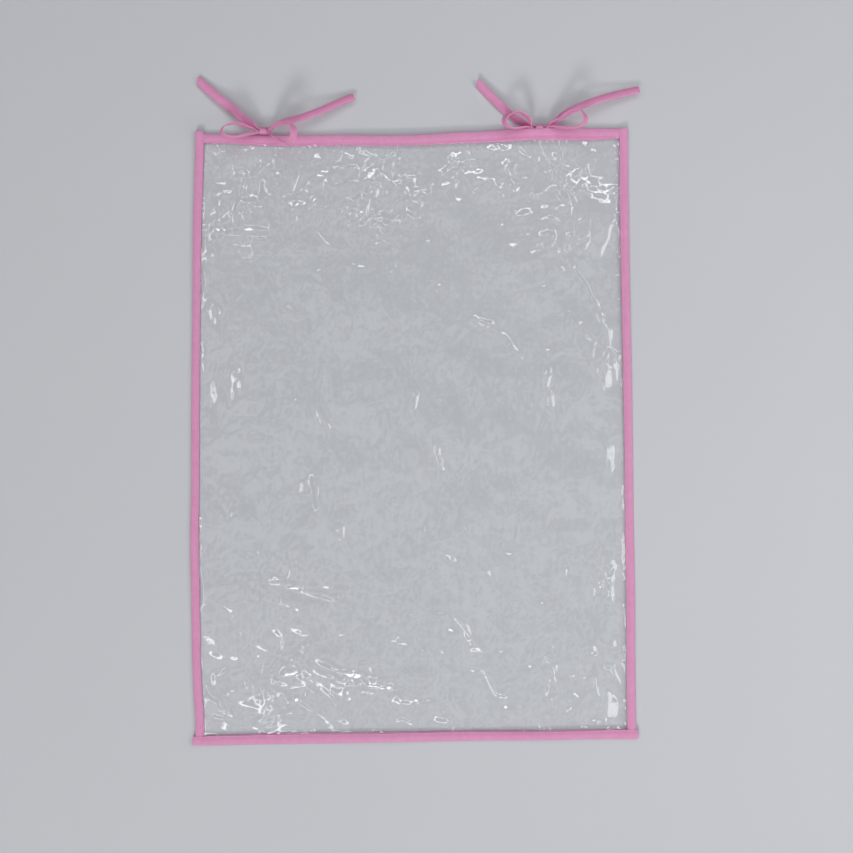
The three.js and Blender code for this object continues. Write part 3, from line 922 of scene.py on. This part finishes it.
# A ribbon's face, from its folded edge to its sewn edge: share of the half width, and of the half thickness
RIBBON_FACE = [(-1.0, 0.35), (-0.97, 0.8), (-0.9, 1.04), (-0.75, 1.06), (-0.5, 1.0), (-0.25, 0.98),
               (0, 1.0), (0.25, 1.02), (0.45, 1.0), (0.6, 0.9), (0.68, 0.62), (0.76, 0.9), (0.88, 1.0),
               (0.96, 0.78), (1.0, 0.35)]
SEAM_SHARE = 0.68  # where its seam is
CUP_LEVEL = 0.4  # the squared share of the half width where a cupped ribbon keeps its height
SEAM_START = 0.3 * GATHER_LENGTH


def cupped(cup, share):
    """How far a ribbon that is curled along its length stands off its middle plane."""
    return cup * (share ** 2 - CUP_LEVEL)


def ribbon_rings(line, sides, widths, thickness=RIBBON_THICKNESS, cup=0, pleat=0, slant=0):
    """Cross-sections of a folded, stitched ribbon.

    cup curls it along its length, pleat gathers it in folds, and slant cuts its end at an angle.
    """
    along, across, normal = frames_along(line, sides)
    face = np.array(RIBBON_FACE)
    share = np.concatenate([face[:, 0], face[::-1, 0]])
    height = np.concatenate([face[:, 1], -face[::-1, 1]]) * thickness / 2
    widths = np.broadcast_to(widths, len(line))[:, None]
    cup = np.broadcast_to(cup, len(line))[:, None]
    pleat = np.broadcast_to(pleat, len(line))[:, None]
    offset = height + cupped(cup, share) + pleat * np.cos(2.5 * math.pi * share)
    rings = (line[:, None] + across[:, None] * (share * widths / 2)[..., None]
             + normal[:, None] * offset[..., None])
    cut = slant * share * TAPE_WIDTH / 2 * smoothstep(0.9, 1, np.linspace(0, 1, len(line)))[:, None]
    return rings + along[:, None] * cut[..., None]


def ribbon_stitches(name, line, sides, widths, cup, side_sign):
    """The stitches that close the ribbon, on one of its faces."""
    _, across, normal = frames_along(line, sides)
    length = np.linalg.norm(np.diff(line, axis=0), axis=1).sum()
    count = int((length - 2 * SEAM_START) / STITCH_PITCH)
    travelled = np.linspace(0, length, len(line))
    distance = SEAM_START + STITCH_PITCH * (np.arange(count)[:, None] + 0.5 + 0.42 * STITCH_PLACES)

    def at(values):
        """An array's values at the rings of every stitch, as (stitches, rings, 1, values)."""
        values = np.reshape(values, (len(line), -1))
        found = np.stack([np.interp(distance, travelled, column) for column in values.T], -1)
        return found[:, :, None]

    across, normal = at(across), at(normal)
    rise = side_sign * (0.32 * RIBBON_THICKNESS + STITCH_ARCH[:, None, None]) + cupped(at(cup), SEAM_SHARE)
    centre = at(line) + across * SEAM_SHARE * at(widths) / 2 + normal * rise
    turn = AROUND[:, None]
    rings = centre + STITCH_RADII[:, None, None] * (np.cos(turn) * across + np.sin(turn) * normal)
    return add_stitches(name, rings)


def pivot(side):
    """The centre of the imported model's knot, about which the bow moves."""
    low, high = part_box(f"{side}_bow_knot")
    return np.array((low + high) / 2)


def knot_centre(side):
    return pivot(side) + np.array(BOWS[side]["knot"]) * MM


def ribbon_sides(stops, share):
    """The way the ribbon's width points at each share of its length, turning smoothly from stop to stop."""
    places = np.array([place_along for place_along, _ in stops])
    directions = unit(np.array([direction for _, direction in stops], float))
    i = np.clip(np.searchsorted(places, share, side="right") - 1, 0, len(places) - 2)
    ease = smoothstep(places[i], places[i + 1], share)[:, None]
    return mix(directions[i], directions[i + 1], ease)


def ribbon_line(side, roots, route):
    """The middle line of a loop or tail: from inside the knot, along its route, and for a loop back again."""
    centre = knot_centre(side)
    points = [centre + np.array(point) for point in roots[0]]
    points += [pivot(side) + np.array(point) * MM for point in route]
    points += [centre + np.array(point) for point in roots[1]]
    return smooth_line(points, 0.9 * MM)


def hand_of(limb):
    """-1 for a loop or tail on the left of its knot, 1 for one on its right."""
    return -1 if limb.startswith("left") else 1


def fasten_to_bow(piece):
    """A loop or tail stays where it is built."""
    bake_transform(piece)


def build_limb(side, limb, route, roots, ends, leans, opening, cup, slant, face):
    """A loop or tail and its stitches.

    ends counts its ends inside the knot, opening gives the distances from the knot between which its gathers
    open out, and face is the side of the ribbon that shows its seam.
    """
    line, travelled = ribbon_line(side, roots, route)
    length = travelled[-1]
    from_knot = (np.minimum(travelled, length - travelled) if ends == 2 else travelled) - ROOT_START
    opened = smoothstep(*opening, from_knot)
    sides = ribbon_sides(leans, np.clip((travelled - ROOT_START) / (length - ends * ROOT_START), 0, 1))
    widths = mix(ROOT_WIDTH, TAPE_WIDTH, opened)
    cup = cup * opened
    rings = ribbon_rings(line, sides, widths, cup=cup, pleat=PLEAT_HEIGHT * (1 - opened), slant=slant)
    name = f"{side}_{limb}"
    piece = add_swept(name, rings, RIBBON)
    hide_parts(f"{side}_bow_{limb}")
    fasten_to_bow(piece)
    seam = ribbon_stitches(f"{name}_stitches", line, sides, widths, cup, face)
    fasten_to_bow(seam)


def build_loop(side, limb, shape):
    x = hand_of(limb) * ROOT_START
    front, back = LOOP_LAYERS
    roots = [(0, front * 0.55, 0), (x, front, 0)], [(x, back, 0), (0, back * 0.55, 0)]
    leans = [(0, UPRIGHT), (0.5, shape["lean"]), (1, UPRIGHT)]
    build_limb(side, limb, shape["route"], roots, 2, leans, (0, GATHER_LENGTH), LOOP_CUP, 0, 1)


def build_tail(side, limb, shape):
    hand = hand_of(limb)
    roots = [(0, TAIL_LAYER * 0.6, 0), (hand * ROOT_START, TAIL_LAYER, 0)], []
    cup, slant = -hand * TAIL_CUP, 0.35 - 0.25 * hand
    build_limb(side, limb, shape["route"], roots, 1, shape["sides"], TAIL_OPENING, cup, slant, hand)


def build_knot(side):
    """One turn of the ribbon round the crossing, pulled tight: narrow in its middle, its end tucked under."""
    centre = knot_centre(side)
    turn = np.linspace(-0.75 * math.pi, 1.35 * math.pi, 90)
    share = np.linspace(0, 1, len(turn))
    radius = KNOT_RADIUS - 0.5 * MM - 0.7 * MM * smoothstep(0.75, 1, 1 - share)
    radius = radius * (1 + 0.04 * np.cos(4 * turn))
    shift = 1.2 * MM * (share - 0.5)
    line = centre + np.stack([shift, radius * np.cos(turn), radius * np.sin(turn)], -1)
    sides = np.broadcast_to([1.0, 0, 0], line.shape)
    pinch = 1 - 0.18 * np.exp(-((share - 0.5) / 0.2) ** 2)
    pleat = 0.22 * MM * np.ones(len(turn))
    rings = ribbon_rings(line, sides, 0.9 * TAPE_WIDTH * pinch, thickness=0.9 * MM, pleat=pleat, cup=0.5 * MM)
    piece = add_swept(f"{side}_knot", rings, RIBBON)
    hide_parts(f"{side}_bow_knot")
    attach(piece, f"{side}_bow")


def build_strap(side):
    """The middle of the tie, sewn flat behind the top binding and turned up to the knot."""
    knot = knot_centre(side)
    edge = place(knot[0] - CENTRE[0], HEIGHT / 2, 0)
    behind = edge[2] - HALF_THICKNESS - 0.65 * MM
    foot_y = max(knot[1] - 2.1 * MM, edge[1] + 1.6 * MM)
    foot_z = knot[2] - math.sqrt(max(STRAP_REACH ** 2 - (foot_y - knot[1]) ** 2, 0))
    profile = [(edge[1] - TAPE_WIDTH + 0.5 * MM, behind), (edge[1] - 3 * MM, behind), (edge[1], behind),
               (edge[1] + 1.3 * MM, behind + 0.5 * MM), (foot_y, foot_z)]
    line, travelled = smooth_line([(knot[0], y, z) for y, z in profile], 0.4 * MM)
    sides = np.broadcast_to([1.0, 0, 0], line.shape)
    gathered = smoothstep(0.7, 1, travelled / travelled[-1])
    widths = mix(TAPE_WIDTH, STRAP_END_WIDTH, gathered)
    rings = ribbon_rings(line, sides, widths, thickness=STRAP_THICKNESS, pleat=0.2 * MM * gathered)
    piece = add_swept(f"{side}_tie_strap", rings, RIBBON)
    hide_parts(f"{side}_tie_anchor")
    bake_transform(piece)
    bar = build_bar(side, knot[0], edge[1] - 6.5 * MM, behind - 0.45 * MM)


def build_bar(side, x, y, z):
    """The bar of close stitches that holds the tie: a zigzag of thread across the back of its strap."""
    passes = 22
    width, height = TAPE_WIDTH - 2 * MM, 1.6 * MM
    corner = np.arange(passes + 1)
    path_x = x - width / 2 + width * corner / passes
    path_y = y + height / 2 * np.where(corner % 2, 1, -1)
    route = np.stack([path_x, path_y, np.full(len(corner), z)], -1)
    rings = route[:, None] + 0.14 * MM * np.stack([np.cos(AROUND), 0 * AROUND, np.sin(AROUND)], -1)
    piece = add_swept(f"{side}_tie_bar", rings, THREAD)
    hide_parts(f"{side}_tie_tack")
    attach(piece, "upper_panel")
    return piece


def build_ties():
    for side, limbs in BOWS.items():
        build_knot(side)
        build_strap(side)
        for limb in ("left_loop", "right_loop", "left_tail", "right_tail"):
            build = build_loop if limb.endswith("loop") else build_tail
            build(side, limb, limbs[limb])


build_ties()


# ---- Stage, lights and camera ----

def build_floor():
    half = 8
    points = np.array([(-half, -half, 0), (half, -half, 0), (half, half, 0), (-half, half, 0)])
    mesh = bpy.data.meshes.new("floor")
    mesh.from_pydata(points.tolist(), [], [(0, 1, 2, 3)])
    mesh.materials.append(floor_material())
    add_object("floor", mesh)


def add_light(name, azimuth, elevation, distance, size, power, colour=(1, 1, 1)):
    """A soft box that looks at the panel's middle. azimuth 0 is +Y, turning towards +X."""
    a, e = math.radians(azimuth), math.radians(elevation)
    towards = np.array([math.sin(a) * math.cos(e), math.cos(a) * math.cos(e), math.sin(e)])
    light = bpy.data.lights.new(name, "AREA")
    light.shape = "RECTANGLE"
    light.size, light.size_y = size
    light.energy = power
    light.color = colour
    lamp = add_object(name, light)
    lamp.location = np.array([*CENTRE, 0]) + distance * towards
    lamp.rotation_euler = (math.pi / 2 - e, 0, math.pi - a)


ROOM_STRENGTH = 0.13
ROOM_CEILING = 0.9


def build_lights():
    add_light("key", 190, 35, 6, (1.5, 1.1), 138, (1, 0.995, 0.985))
    add_light("back", 10, 52, 2.3, (2.2, 0.15), 8.5, (0.97, 0.98, 1))
    add_light("front", 195, 56, 2.3, (2.0, 0.14), 6.5)
    add_light("right", 97, 38, 2.0, (0.9, 0.9), 9)
    add_light("right_high", 95, 54, 2.0, (2.4, 0.14), 4.5)
    add_light("left_high", 275, 54, 2.0, (2.2, 0.13), 4.2)
    bpy.context.scene.world = studio_world()


def studio_world():
    """A dim even room, with a mottled white ceiling straight overhead for the film to mirror."""
    world = bpy.data.worlds.new("studio")
    world.use_nodes = True
    tree = world.node_tree
    background = tree.nodes["Background"]
    direction = add_node(tree, "ShaderNodeTexCoord").outputs["Generated"]
    mottle = add_node(tree, "ShaderNodeTexNoise", Vector=direction, Scale=6, Detail=2, Roughness=0.5)
    height = add_node(tree, "ShaderNodeSeparateXYZ", Vector=direction)
    bright = add_range(tree, mottle.outputs["Fac"], 0.42, 0.6, 1)
    overhead = add_range(tree, height.outputs["Z"], 0.8, 0.93, ROOM_CEILING)
    background.inputs["Color"].default_value = (0.95, 0.965, 1, 1)
    feed(tree, background.inputs["Strength"], add_math(tree, "MULTIPLY_ADD", bright, overhead, ROOM_STRENGTH))
    return world


def add_range(tree, value, low, high, most):
    """Rises smoothly from 0 to most while the value rises from low to high."""
    ease = add_node(tree, "ShaderNodeMapRange", interpolation_type="SMOOTHSTEP", Value=value,
                    From_Min=low, From_Max=high, To_Min=0, To_Max=most)
    return ease.outputs["Result"]


def build_camera():
    aim = np.array([11.2 * MM, -24.4 * MM, 0])
    distance, elevation = 1.5, math.radians(87)
    camera = add_object("camera", bpy.data.cameras.new("camera"))
    camera.location = aim + distance * np.array([0, -math.cos(elevation), math.sin(elevation)])
    camera.rotation_euler = (math.pi / 2 - elevation, 0, 0)
    camera.data.lens = 55.3
    camera.data.sensor_width = 36
    bpy.context.scene.camera = camera


build_floor()
build_lights()
build_camera()
bpy.context.scene.view_settings.view_transform = "Standard"
